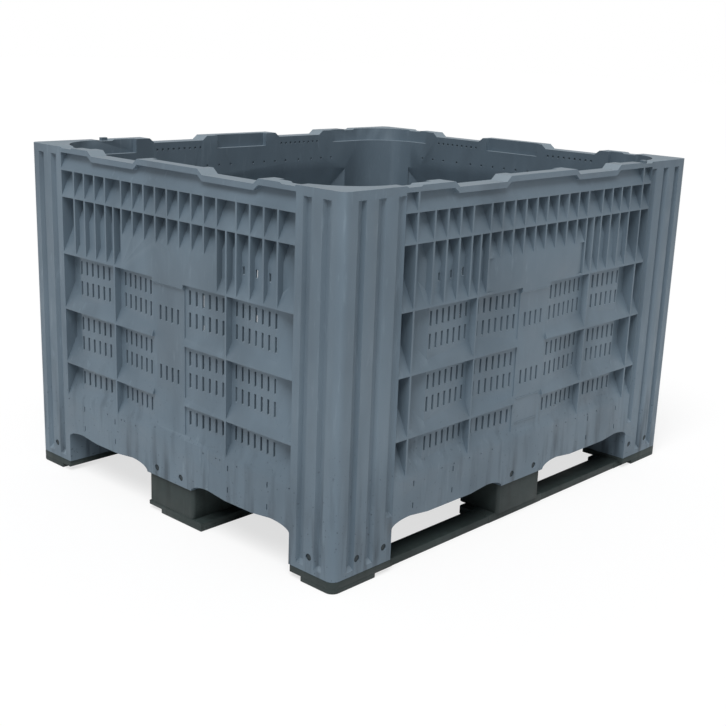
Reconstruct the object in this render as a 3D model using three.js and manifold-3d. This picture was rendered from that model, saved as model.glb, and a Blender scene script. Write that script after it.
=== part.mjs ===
// Plastic pallet box, 1200 x 1000 x 765.5 mm, with ribbed and slotted walls, fluted corner posts
// and three separate runners held on by pins.
// Millimetres, +Z up, X along the long side, Y along the short side.
// The origin is on the ground under the middle of the box.
import * as THREE from 'three';
import { mergeVertices } from 'three/addons/utils/BufferGeometryUtils.js';
import Module from 'manifold-3d';

const wasm = await Module();
wasm.setup();

// Overall sizes
const LENGTH = 1200;
const WIDTH = 1000;
const HEIGHT = 765.5;
const BODY_BOTTOM = 25;
const CORNER_RADIUS = 18;
const CORNER_STEPS = 5;
const FIT_GAP = 0.3;

// Shell
const RIM_WIDTH = 41;
const SKIN = 4.5;
const INNER_RADIUS = 110;
const FLOOR_TOP = 155;
const FLOOR_THICKNESS = 6;

// Horizontal ribs, by the lower front edge of each; the top band has a fixed height below the rim
const BAND_DROP = 50.8;
const SKIRT_TOP = 197;
const LOWEST_RIB = 270;
const UPPER_ROW = 59.5;
const RIB_EDGE = 4;
const RIB_WIDTH = 5;
const WEDGE_SLOPE = 2;
const LEAN_TOP = 12;
const ROW_PITCH = (HEIGHT - BAND_DROP - UPPER_ROW - LOWEST_RIB) / 3;
const ROW_RIBS = [0, 1, 2, 3].map((row) => LOWEST_RIB + row * ROW_PITCH);
const BAND_BOTTOM = ROW_RIBS[3] + UPPER_ROW;

// Rim
const LIP_HEIGHT = 9.5;
const NOTCH_DROP = 10;
const SHOULDER_DROP = 3;
const RAMP = 13;
const SHOULDER_RAMP = 6;
const LEDGE_HEIGHT = 31;
const LEDGE_STEP = 8;
const LEDGE_HALF = 84;
const NUB_PLACE = LENGTH / 2 - 190;
const NUB_LENGTH = 16;
const NUB_WIDTH = 10;
const NUB_DEPTH = 5;
const NUB_HEIGHT = 7;

// Depths of the slotted skin below the outer face
const DEPTH_AT_STEM = 6.5;
const DEPTH_AT_RIB = 15.5;
const DEPTH_AT_LAST_SLOT = 10;
const DEPTH_AT_POST = 28;
const STEM_RECESS = 5;

// T shaped panel
const BAR_BOTTOM = ROW_RIBS[2] - 5.8;
const BAR_TOP = ROW_RIBS[2] + 0.57 * ROW_PITCH;
const STEM_HALF = 51;

// Slots
const SLOT_WIDTH = 6.5;
const SLOT_LENGTH = 0.257 * ROW_PITCH;
const SLOT_START = 0.28 * ROW_PITCH;
const SLOT_STEP = 0.39 * ROW_PITCH;
const STEM_SLOTS = [0, 1];
const SLOTS_PER_CELL = 5;

// Flutes of the corner posts
const FLUTE_WIDTH = 20;
const FLUTE_FLOOR = 12;
const FLUTE_DEPTH = 8;
const FLUTE_BOTTOM = 33;
const FLUTE_TOP = HEIGHT - 20.5;

// Feet, skirt and fork openings
const POST_WALL = 15;
const SKIRT_WALL = 5;
const RIB_WALL = 4.5;
const DECK_BOTTOM = 104;
const ARCH_MIDDLE = 98;
const ARCH_CROWN = 103.5;
const ARCH_END = 89;
const ARCH_CURVE = 55;
const CORE_TOP = HEIGHT - 30.5;

// Runners
const BLOCK_TOP = 87;
const BLOCK_HALF_X = 77.5;
const BLOCK_HALF_Y = 76;
const BLOCK_SETBACK = 5;
const BLOCK_WALL = 12;
const BLOCK_FLOOR = 22;
const BLOCK_INNER = WIDTH / 2 - 114;
const PLATE_BOTTOM = 10;
const PLATE_INNER = WIDTH / 2 - 119;
const PAD_INNER = WIDTH / 2 - 88;
const PAD_END = LENGTH / 2 - 185;
const TOE_END = LENGTH / 2 - 120;
const STRIP_TOP = 17;
const STRIP_SETBACK = 13;
const STRIP_WIDTH = 52;
const MIDDLE_PAD_HALF = 103;
const EDGE_RADIUS = 8;
const PAD_LEAD = 1;
const TOE_NOTCH = 20;
const TOE_NOTCH_START = 34;

// Fixing pins and the lugs that they enter
const PIN_RADIUS = 7;
const PIN_SINK = 1.5;
const PIN_LENGTH = 20;
const LUG_WIDTH = 34;
const LUG_THICKNESS = 12;
const LUG_RISE = 12;
const FOOT_PIN_HEIGHT = 58;
const MIDDLE_PIN_HEIGHT = 106;
const MIDDLE_PIN_OFFSET = 41;

// Vertical ribs and slots follow a module that grows with the wall; posts keep their width.
const MODULE_X = LENGTH / 61.54;
const MODULE_Y = WIDTH / 51.28;

// Each wall is described in its own frame: s runs along the wall from its middle,
// the depth runs inward from the outer face, and z is the height.
const LONG_WALL = {
  span: LENGTH,
  module: MODULE_X,
  postEdge: LENGTH / 2 - 163,
  innerRib: 10.5 * MODULE_X,
  sideRib: LENGTH / 2 - 198.5,
  lastSlot: 17.7 * MODULE_X,
  upperRibs: [1, 3, 5, 7, 9, 12, 14, 16, 18].map((count) => count * MODULE_X),
  barRib: 9 * MODULE_X,
  notch: [6.77 * MODULE_X, 14.51 * MODULE_X],
  tabEnd: LENGTH / 2 - 210,
  ledgeStart: LENGTH / 2 - 263,
  flutes: [46, 98.6, 152.2],
  pins: [65, 141],
  slots: [[3, 9], [11, 17]],
  blockHalf: BLOCK_HALF_X,
};
const SHORT_WALL = {
  span: WIDTH,
  module: MODULE_Y,
  postEdge: WIDTH / 2 - 122,
  innerRib: 9.5 * MODULE_Y,
  sideRib: null,
  lastSlot: 16.7 * MODULE_Y,
  upperRibs: [0, 2, 4, 6, 8, 11, 13, 15, 17].map((count) => count * MODULE_Y),
  barRib: 8 * MODULE_Y,
  notch: [5.85 * MODULE_Y, 13.44 * MODULE_Y],
  tabEnd: WIDTH / 2 - 165,
  ledgeStart: WIDTH / 2 - 197,
  flutes: [42.3, 92],
  pins: [67],
  slots: [[3, 8], [10, 16]],
  blockHalf: BLOCK_HALF_Y,
};

// Turns a closed geometry into a solid for joining and cutting.
function toSolid(geometry) {
  const bare = geometry.index ? geometry.toNonIndexed() : geometry.clone();
  bare.deleteAttribute('normal');
  bare.deleteAttribute('uv');
  const merged = mergeVertices(bare, 1e-4);
  const vertProperties = new Float32Array(merged.attributes.position.array);
  const triVerts = new Uint32Array(merged.index.array);
  return new wasm.Manifold(new wasm.Mesh({ numProp: 3, vertProperties, triVerts }));
}

// Turns a solid back into a geometry.
function toGeometry(solid) {
  const mesh = solid.getMesh();
  const geometry = new THREE.BufferGeometry();
  geometry.setAttribute('position', new THREE.BufferAttribute(new Float32Array(mesh.vertProperties), 3));
  geometry.setIndex(new THREE.BufferAttribute(new Uint32Array(mesh.triVerts), 1));
  return geometry;
}

// Joins a list of solids two by two.
function joinAll(solids) {
  let list = [...solids];
  while (list.length > 1) {
    const next = [];
    for (let i = 0; i < list.length; i += 2) {
      next.push(i + 1 < list.length ? list[i].add(list[i + 1]) : list[i]);
    }
    list = next;
  }
  return list[0];
}

function box(low, high) {
  const geometry = new THREE.BoxGeometry(high[0] - low[0], high[1] - low[1], high[2] - low[2]);
  geometry.translate((low[0] + high[0]) / 2, (low[1] + high[1]) / 2, (low[2] + high[2]) / 2);
  return geometry;
}

// A plan outline extruded from one height to another.
function column(points, bottom, top) {
  const shape = new THREE.Shape(points.map(([x, y]) => new THREE.Vector2(x, y)));
  const geometry = new THREE.ExtrudeGeometry(shape, { depth: top - bottom, bevelEnabled: false });
  geometry.translate(0, 0, bottom);
  return geometry;
}

// A front outline of (s, z) points, extruded along the depth.
function curtain(points, nearDepth, farDepth) {
  const shape = new THREE.Shape(points.map(([s, z]) => new THREE.Vector2(s, z)));
  const geometry = new THREE.ExtrudeGeometry(shape, { depth: farDepth - nearDepth, bevelEnabled: false });
  geometry.rotateX(Math.PI / 2);
  geometry.translate(0, farDepth, 0);
  return geometry;
}

// A solid between two side profiles of (depth, z) points at two places along the wall.
function loft(profileA, placeA, profileB, placeB) {
  const count = profileA.length;
  const positions = [];
  profileA.forEach(([depth, z]) => positions.push(placeA, depth, z));
  profileB.forEach(([depth, z]) => positions.push(placeB, depth, z));
  const index = [];
  const caps = THREE.ShapeUtils.triangulateShape(profileA.map(([d, z]) => new THREE.Vector2(d, z)), []);
  caps.forEach(([a, b, c]) => index.push(a, c, b, a + count, b + count, c + count));
  for (let i = 0; i < count; i += 1) {
    const next = (i + 1) % count;
    index.push(i, next, next + count, i, next + count, i + count);
  }
  const geometry = new THREE.BufferGeometry();
  geometry.setAttribute('position', new THREE.Float32BufferAttribute(positions, 3));
  geometry.setIndex(index);
  return geometry;
}

// Corner points of a rectangle with round corners, in plan.
function roundedPlan(halfX, halfY, radius, segments) {
  const points = [];
  [[1, 1], [-1, 1], [-1, -1], [1, -1]].forEach(([sx, sy], quarter) => {
    for (let i = 0; i <= segments; i += 1) {
      const angle = (quarter + i / segments) * (Math.PI / 2);
      points.push([
        sx * (halfX - radius) + radius * Math.cos(angle),
        sy * (halfY - radius) + radius * Math.sin(angle),
      ]);
    }
  });
  return points;
}

function shifted(points, dx, dy) {
  return points.map(([x, y]) => [x + dx, y + dy]);
}

// The four walls: each transform brings wall coordinates to the box.
function wallMatrices(wall) {
  const turns = wall === LONG_WALL ? [0, 2] : [3, 1];
  const half = (wall === LONG_WALL ? WIDTH : LENGTH) / 2;
  return turns.map((turn) => new THREE.Matrix4()
    .makeRotationZ((turn * Math.PI) / 2)
    .multiply(new THREE.Matrix4().makeTranslation(0, -half, 0)));
}

// Depth of the slotted skin at a place along the wall.
function skinStops(wall) {
  const stops = [
    [STEM_HALF, DEPTH_AT_STEM],
    [wall.innerRib, DEPTH_AT_RIB],
    [wall.lastSlot, DEPTH_AT_LAST_SLOT],
    [wall.sideRib ?? wall.postEdge, DEPTH_AT_POST],
  ];
  if (wall.sideRib) {
    stops.push([wall.postEdge, DEPTH_AT_POST]);
  }
  return stops;
}

function skinDepth(wall, place) {
  const stops = skinStops(wall);
  const s = Math.abs(place);
  if (s <= stops[0][0]) {
    return stops[0][1];
  }
  for (let i = 1; i < stops.length; i += 1) {
    if (s <= stops[i][0]) {
      const share = (s - stops[i - 1][0]) / (stops[i][0] - stops[i - 1][0]);
      return stops[i - 1][1] + share * (stops[i][1] - stops[i - 1][1]);
    }
  }
  return stops[stops.length - 1][1];
}

// A pocket with a sloping sill: the sill rises inward from the rib's front edge.
function sillProfile(bottom, top, depth) {
  const reach = Math.min(depth, (top - bottom) / WEDGE_SLOPE);
  const points = [[-1, bottom], [0, bottom], [reach, bottom + WEDGE_SLOPE * reach]];
  if (bottom + WEDGE_SLOPE * reach < top - 1e-6) {
    points.push([reach, top]);
  }
  points.push([-1, top]);
  return points;
}

// The tall row under the upper ribs leans inward again near its top.
function tallProfile(bottom, top, depth) {
  const lean = DEPTH_AT_POST - depth;
  return [
    [-1, bottom],
    [0, bottom],
    [depth, bottom + WEDGE_SLOPE * depth],
    [depth, top - lean * WEDGE_SLOPE - LEAN_TOP],
    [DEPTH_AT_POST, top - LEAN_TOP / 2],
    [DEPTH_AT_POST, top],
    [-1, top],
  ];
}

// Both halves of a wall get the same pocket.
function mirrored(make, from, to) {
  return [make(from, to), make(-to, -from)];
}

function pocketRow(ribs, end, halfRib, make) {
  const cells = [];
  for (let i = 0; i < ribs.length; i += 1) {
    const from = ribs[i] + halfRib;
    const to = i + 1 < ribs.length ? ribs[i + 1] - halfRib : end;
    cells.push(...mirrored(make, from, to));
  }
  return cells;
}

// Row of small pockets just under the top band.
function upperRow(wall) {
  const bottom = ROW_RIBS[3] + RIB_EDGE;
  const profile = sillProfile(bottom, BAND_BOTTOM, DEPTH_AT_POST);
  const make = (from, to) => loft(profile, from, profile, to);
  const ribs = wall.sideRib ? [...wall.upperRibs, wall.sideRib] : wall.upperRibs;
  const cells = pocketRow(ribs, wall.postEdge, RIB_WIDTH / 2, make);
  if (ribs[0] > 0) {
    cells.push(make(-ribs[0] + RIB_WIDTH / 2, ribs[0] - RIB_WIDTH / 2));
  }
  return cells;
}

// Tall pockets beside the T shaped panel, and short ones on its sloping top.
function barRow(wall) {
  const bottom = ROW_RIBS[2] + RIB_EDGE;
  const top = ROW_RIBS[3];
  const outer = wall.upperRibs.filter((place) => place > wall.barRib);
  const ribs = [wall.barRib, wall.innerRib, ...outer];
  if (wall.sideRib) {
    ribs.push(wall.sideRib);
  }
  const tall = (from, to) => loft(
    tallProfile(bottom, top, skinDepth(wall, from)),
    from,
    tallProfile(bottom, top, skinDepth(wall, to)),
    to,
  );
  const cells = pocketRow(ribs, wall.postEdge, RIB_WIDTH / 2, tall);
  const inner = wall.upperRibs.filter((place) => place <= wall.barRib);
  const onBar = sillProfile(BAR_TOP, top, DEPTH_AT_POST);
  const short = (from, to) => loft(onBar, from, onBar, to);
  inner.forEach((place, i) => {
    if (i + 1 < inner.length) {
      cells.push(...mirrored(short, place + RIB_WIDTH / 2, inner[i + 1] - RIB_WIDTH / 2));
    }
  });
  if (inner[0] > 0) {
    cells.push(short(-inner[0] + RIB_WIDTH / 2, inner[0] - RIB_WIDTH / 2));
  }
  return cells;
}

// The three slotted rows.
function slottedRow(wall, bottom, top) {
  const make = (from, to) => loft(
    sillProfile(bottom, top, skinDepth(wall, from)),
    from,
    sillProfile(bottom, top, skinDepth(wall, to)),
    to,
  );
  const half = RIB_WIDTH / 2;
  const cells = [
    ...mirrored(make, STEM_HALF, wall.innerRib - half),
    ...mirrored(make, wall.innerRib + half, wall.lastSlot),
  ];
  if (wall.sideRib) {
    cells.push(...mirrored(make, wall.lastSlot, wall.sideRib - half));
    cells.push(...mirrored(make, wall.sideRib + half, wall.postEdge));
  } else {
    cells.push(...mirrored(make, wall.lastSlot, wall.postEdge));
  }
  return cells;
}

function stemRecess() {
  const profile = sillProfile(SKIRT_TOP, BAR_BOTTOM, STEM_RECESS);
  return loft(profile, -STEM_HALF - 1, profile, STEM_HALF + 1);
}

// Top band: a sloping face that runs back under the lip, lower under the rim notches.
function topBand(wall) {
  const bottom = BAND_BOTTOM + RIB_EDGE;
  const high = HEIGHT - LIP_HEIGHT;
  const low = high - NOTCH_DROP;
  const at = (top) => sillProfile(bottom, top, DEPTH_AT_POST);
  const [start, end] = wall.notch;
  const edge = wall.postEdge;
  const side = wall.sideRib;
  const half = RIB_WIDTH / 2;
  const parts = [
    ...mirrored((a, b) => loft(at(a < 0 ? low : high), a, at(a < 0 ? high : low), b), start - RAMP, start),
    ...mirrored((a, b) => loft(at(low), a, at(low), b), start, end),
    ...mirrored((a, b) => loft(at(a < 0 ? high : low), a, at(a < 0 ? low : high), b), end, end + RAMP),
    ...mirrored((a, b) => loft(at(high), a, at(high), b), end + RAMP, side ? side - half : edge),
    loft(at(high), -start + RAMP, at(high), start - RAMP),
  ];
  if (side) {
    parts.push(...mirrored((a, b) => loft(at(high), a, at(high), b), side + half, edge));
  }
  return parts;
}

// What is taken off above the rim: notches with ramps, and low shoulders beside the posts.
function rimCut(wall) {
  const [start, end] = wall.notch;
  const half = [
    [start - RAMP, HEIGHT],
    [start, HEIGHT - NOTCH_DROP],
    [end, HEIGHT - NOTCH_DROP],
    [end + RAMP, HEIGHT],
  ];
  const shoulder = [
    [wall.tabEnd, HEIGHT],
    [wall.tabEnd + SHOULDER_RAMP, HEIGHT - SHOULDER_DROP],
    [wall.postEdge - SHOULDER_RAMP, HEIGHT - SHOULDER_DROP],
    [wall.postEdge, HEIGHT],
  ];
  const above = 5;
  const cut = (points, sign) => {
    const first = points[0][0];
    const last = points[points.length - 1][0];
    const outline = [...points, [last, HEIGHT + above], [first, HEIGHT + above]];
    return curtain(outline.map(([s, z]) => [sign * s, z]), -1, RIM_WIDTH + 1);
  };
  return [half, shoulder].flatMap((points) => [cut(points, 1), cut(points, -1)]);
}

// Through slots of one wall. Two short slots above one another are one tall slot here.
function slots(wall) {
  const list = [];
  const slotAt = (count, bottom, top) => {
    const centre = (count + 0.5) * wall.module;
    [centre, -centre].forEach((s) => list.push(box(
      [s - SLOT_WIDTH / 2, -1, bottom],
      [s + SLOT_WIDTH / 2, RIM_WIDTH + 1, top],
    )));
  };
  [0, 1].forEach((row) => {
    const bottom = ROW_RIBS[row] + SLOT_START;
    const top = bottom + SLOT_STEP + SLOT_LENGTH;
    wall.slots.forEach(([first, last]) => {
      for (let i = 0; i < SLOTS_PER_CELL; i += 1) {
        slotAt(first + (i * (last - first)) / (SLOTS_PER_CELL - 1), bottom, top);
      }
    });
    STEM_SLOTS.forEach((count) => slotAt(count, bottom, bottom + SLOT_LENGTH));
  });
  return list;
}

// Hollow behind the slotted skin, on the inside of the wall.
function innerRecess(wall) {
  const bottom = FLOOR_TOP;
  const top = ROW_RIBS[3] + RIB_EDGE;
  const at = (depth) => {
    const lean = RIM_WIDTH - depth;
    return [
      [RIM_WIDTH + 1, bottom],
      [depth, bottom],
      [depth, top - lean * WEDGE_SLOPE - RIB_EDGE],
      [RIM_WIDTH, top - RIB_EDGE],
      [RIM_WIDTH + 1, top - RIB_EDGE],
    ].reverse();
  };
  const stops = skinStops(wall);
  const parts = [loft(at(DEPTH_AT_STEM + SKIN), -STEM_HALF, at(DEPTH_AT_STEM + SKIN), STEM_HALF)];
  for (let i = 1; i < stops.length; i += 1) {
    const [from, nearDepth] = stops[i - 1];
    const [to, farDepth] = stops[i];
    if (farDepth + SKIN < RIM_WIDTH || nearDepth + SKIN < RIM_WIDTH) {
      const limit = Math.min(farDepth + SKIN, RIM_WIDTH - 0.01);
      parts.push(loft(at(nearDepth + SKIN), from, at(limit), to));
      parts.push(loft(at(limit), -to, at(nearDepth + SKIN), -from));
    }
  }
  return parts;
}

// Opening under the skirt, lower over the runner blocks and arched between blocks and posts.
function archOutline(wall) {
  const start = wall.blockHalf;
  const end = wall.postEdge;
  const curveSteps = 4;
  const half = [];
  for (let i = 0; i <= curveSteps; i += 1) {
    const angle = (i / curveSteps) * (Math.PI / 2);
    const rise = (ARCH_CROWN - BLOCK_TOP) * Math.sin(angle);
    half.push([start + ARCH_CURVE * (1 - Math.cos(angle)), BLOCK_TOP + rise]);
  }
  half.push([start + 2 * ARCH_CURVE, ARCH_MIDDLE]);
  half.push([end - 2 * ARCH_CURVE, ARCH_MIDDLE]);
  for (let i = curveSteps; i >= 0; i -= 1) {
    const angle = (i / curveSteps) * (Math.PI / 2);
    const rise = (ARCH_CROWN - ARCH_END) * Math.sin(angle);
    half.push([end - ARCH_CURVE * (1 - Math.cos(angle)), ARCH_END + rise]);
  }
  const below = BODY_BOTTOM - 5;
  const right = [...half, [end, below]];
  const left = right.map(([s, z]) => [-s, z]).reverse();
  return [...left, ...right].reverse();
}

// Flutes of one wall's posts, as plan trapezoids extruded upward.
function flutes(wall) {
  const half = wall.span / 2;
  return wall.flutes.flatMap((offset) => [1, -1].map((side) => {
    const s = side * (half - offset);
    return column([
      [s - FLUTE_WIDTH / 2 - 0.5, -0.5],
      [s + FLUTE_WIDTH / 2 + 0.5, -0.5],
      [s + FLUTE_FLOOR / 2, FLUTE_DEPTH],
      [s - FLUTE_FLOOR / 2, FLUTE_DEPTH],
    ], FLUTE_BOTTOM, FLUTE_TOP);
  }));
}

function pinPlaces(wall) {
  const half = wall.span / 2;
  const foot = wall.pins.flatMap((offset) => [1, -1].map((side) => ({
    s: side * (half - offset),
    z: FOOT_PIN_HEIGHT,
    wall: POST_WALL,
    name: 'foot',
  })));
  const middle = [1, -1].map((side) => ({
    s: side * MIDDLE_PIN_OFFSET,
    z: MIDDLE_PIN_HEIGHT,
    wall: SKIRT_WALL,
    name: 'middle',
  }));
  return [...foot, ...middle];
}

const ROUND_SEGMENTS = 8;

function depthCylinder(s, z, radius, nearDepth, farDepth) {
  const geometry = new THREE.CylinderGeometry(radius, radius, farDepth - nearDepth, ROUND_SEGMENTS);
  geometry.translate(s, (nearDepth + farDepth) / 2, z);
  return geometry;
}

function pinHoles(wall) {
  return pinPlaces(wall).map((pin) => depthCylinder(pin.s, pin.z, PIN_RADIUS + FIT_GAP, -1, pin.wall + 1));
}

// The one-piece moulded box.
function makeBody() {
  const outer = toSolid(column(
    roundedPlan(LENGTH / 2, WIDTH / 2, CORNER_RADIUS, CORNER_STEPS),
    BODY_BOTTOM,
    HEIGHT,
  ));
  const cuts = [];
  const cavityHalfX = LENGTH / 2 - RIM_WIDTH;
  const cavityHalfY = WIDTH / 2 - RIM_WIDTH;
  cuts.push(column(roundedPlan(cavityHalfX, cavityHalfY, INNER_RADIUS, CORNER_STEPS), FLOOR_TOP, HEIGHT + 5));

  const ledgeBottom = HEIGHT - LEDGE_HEIGHT;
  const ledge = toSolid(column(
    roundedPlan(cavityHalfX + LEDGE_STEP, cavityHalfY + LEDGE_STEP, INNER_RADIUS + LEDGE_STEP, CORNER_STEPS),
    ledgeBottom,
    HEIGHT + 5,
  ));
  const far = LENGTH;
  const ledgeZones = [
    box([-LEDGE_HALF, -far, ledgeBottom - 1], [LEDGE_HALF, far, HEIGHT + 6]),
    box([-far, -LEDGE_HALF, ledgeBottom - 1], [far, LEDGE_HALF, HEIGHT + 6]),
    ...[1, -1].flatMap((sx) => [1, -1].map((sy) => {
      const xs = [sx * LONG_WALL.ledgeStart, sx * far].sort((a, b) => a - b);
      const ys = [sy * SHORT_WALL.ledgeStart, sy * far].sort((a, b) => a - b);
      return box([xs[0], ys[0], ledgeBottom - 1], [xs[1], ys[1], HEIGHT + 6]);
    })),
  ].map(toSolid);
  const ledgeCuts = ledgeZones.map((zone) => ledge.intersect(zone));

  [LONG_WALL, SHORT_WALL].forEach((wall) => {
    const local = [
      ...upperRow(wall),
      ...barRow(wall),
      ...slottedRow(wall, SKIRT_TOP, ROW_RIBS[0]),
      ...slottedRow(wall, ROW_RIBS[0] + RIB_EDGE, ROW_RIBS[1]),
      ...slottedRow(wall, ROW_RIBS[1] + RIB_EDGE, ROW_RIBS[2]),
      stemRecess(),
      ...topBand(wall),
      ...rimCut(wall),
      ...slots(wall),
      ...innerRecess(wall),
      curtain(archOutline(wall), -1, SKIRT_WALL + 1),
      ...flutes(wall),
      ...pinHoles(wall),
    ];
    wallMatrices(wall).forEach((matrix) => {
      local.forEach((geometry) => cuts.push(geometry.clone().applyMatrix4(matrix)));
    });
  });

  const footX = LONG_WALL.postEdge;
  const footY = SHORT_WALL.postEdge;
  const insideX = LENGTH / 2 - SKIRT_WALL;
  const insideY = WIDTH / 2 - SKIRT_WALL;
  const under = BODY_BOTTOM - 5;
  const seats = joinAll([
    box([-BLOCK_HALF_X, -WIDTH, BLOCK_TOP], [BLOCK_HALF_X, -BLOCK_INNER, FLOOR_TOP]),
    box([-BLOCK_HALF_X, BLOCK_INNER, BLOCK_TOP], [BLOCK_HALF_X, WIDTH, FLOOR_TOP]),
    box([-BLOCK_HALF_X, -BLOCK_HALF_Y, BLOCK_TOP], [BLOCK_HALF_X, BLOCK_HALF_Y, FLOOR_TOP]),
    box([-LENGTH, -BLOCK_HALF_Y, BLOCK_TOP], [-footX, BLOCK_HALF_Y, FLOOR_TOP]),
    box([footX, -BLOCK_HALF_Y, BLOCK_TOP], [LENGTH, BLOCK_HALF_Y, FLOOR_TOP]),
  ].map(toSolid));
  const clearance = joinAll([
    box([-footX, -insideY, under], [footX, insideY, DECK_BOTTOM]),
    box([-insideX, -footY, under], [insideX, footY, DECK_BOTTOM]),
  ].map(toSolid)).subtract(seats);
  const coreOuter = toSolid(column(
    roundedPlan(LENGTH / 2 - POST_WALL, WIDTH / 2 - POST_WALL, CORNER_RADIUS - POST_WALL, CORNER_STEPS),
    under,
    CORE_TOP,
  ));

  // Pockets of the deck, open from below, with thin ribs between them.
  const pocketTop = FLOOR_TOP - FLOOR_THICKNESS;
  const footPockets = [];
  const cellsX = [
    [0, BLOCK_HALF_X - RIB_WALL],
    [BLOCK_HALF_X, (BLOCK_HALF_X + footX) / 2 - RIB_WALL / 2],
    [(BLOCK_HALF_X + footX) / 2 + RIB_WALL / 2, footX],
    [footX + RIB_WALL, insideX],
  ];
  const cellsY = [
    [0, BLOCK_HALF_Y - RIB_WALL],
    [BLOCK_HALF_Y, (BLOCK_HALF_Y + footY) / 2 - RIB_WALL / 2],
    [(BLOCK_HALF_Y + footY) / 2 + RIB_WALL / 2, footY],
    [footY + RIB_WALL, insideY],
  ];
  const spread = (cells) => cells.flatMap(([low, high]) => (
    low === 0 ? [[-high, high]] : [[low, high], [-high, -low]]
  ));
  spread(cellsX).forEach(([x0, x1]) => spread(cellsY).forEach(([y0, y1]) => {
    const inFootX = Math.max(Math.abs(x0), Math.abs(x1)) > footX + RIB_WALL;
    const inFootY = Math.max(Math.abs(y0), Math.abs(y1)) > footY + RIB_WALL;
    const pocket = box([x0, y0, under], [x1, y1, pocketTop]);
    if (inFootX && inFootY) {
      footPockets.push(toSolid(pocket).intersect(coreOuter));
    } else {
      cuts.push(pocket);
    }
  }));

  // Hollow cores of the corner posts, open from below.
  const coreInner = toSolid(column(
    roundedPlan(cavityHalfX + SKIN, cavityHalfY + SKIN, INNER_RADIUS + SKIN, CORNER_STEPS),
    under - 1,
    CORE_TOP + 1,
  ));
  const crescent = coreOuter.subtract(coreInner);
  const coreX = footX + RIB_WALL;
  const coreY = footY + RIB_WALL;
  const cores = [1, -1].flatMap((sx) => [1, -1].map((sy) => {
    const xs = [sx * coreX, sx * far].sort((a, b) => a - b);
    const ys = [sy * coreY, sy * far].sort((a, b) => a - b);
    return crescent.intersect(toSolid(box([xs[0], ys[0], 0], [xs[1], ys[1], HEIGHT])));
  }));

  const cutter = joinAll([...cuts.map(toSolid), ...ledgeCuts, ...footPockets, ...cores, clearance]);
  const shoulderTop = HEIGHT - SHOULDER_DROP;
  const nubs = [1, -1].flatMap((sx) => [1, -1].map((sy) => {
    const xs = [sx * (NUB_PLACE - NUB_LENGTH / 2), sx * (NUB_PLACE + NUB_LENGTH / 2)].sort((a, b) => a - b);
    const ys = [sy * (WIDTH / 2 - NUB_DEPTH - NUB_WIDTH), sy * (WIDTH / 2 - NUB_DEPTH)].sort((a, b) => a - b);
    return toSolid(box([xs[0], ys[0], shoulderTop - 2], [xs[1], ys[1], shoulderTop + NUB_HEIGHT]));
  }));
  return outer.subtract(cutter).add(joinAll(nubs));
}

// A lug with a hole for a pin, in the frame of its wall.
function lugParts(pin, bottom) {
  const near = pin.wall + FIT_GAP;
  return {
    lug: box(
      [pin.s - LUG_WIDTH / 2, near, bottom],
      [pin.s + LUG_WIDTH / 2, near + LUG_THICKNESS, pin.z + LUG_RISE],
    ),
    hole: depthCylinder(pin.s, pin.z, PIN_RADIUS + FIT_GAP, near - 1, near + LUG_THICKNESS + 1),
  };
}

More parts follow.
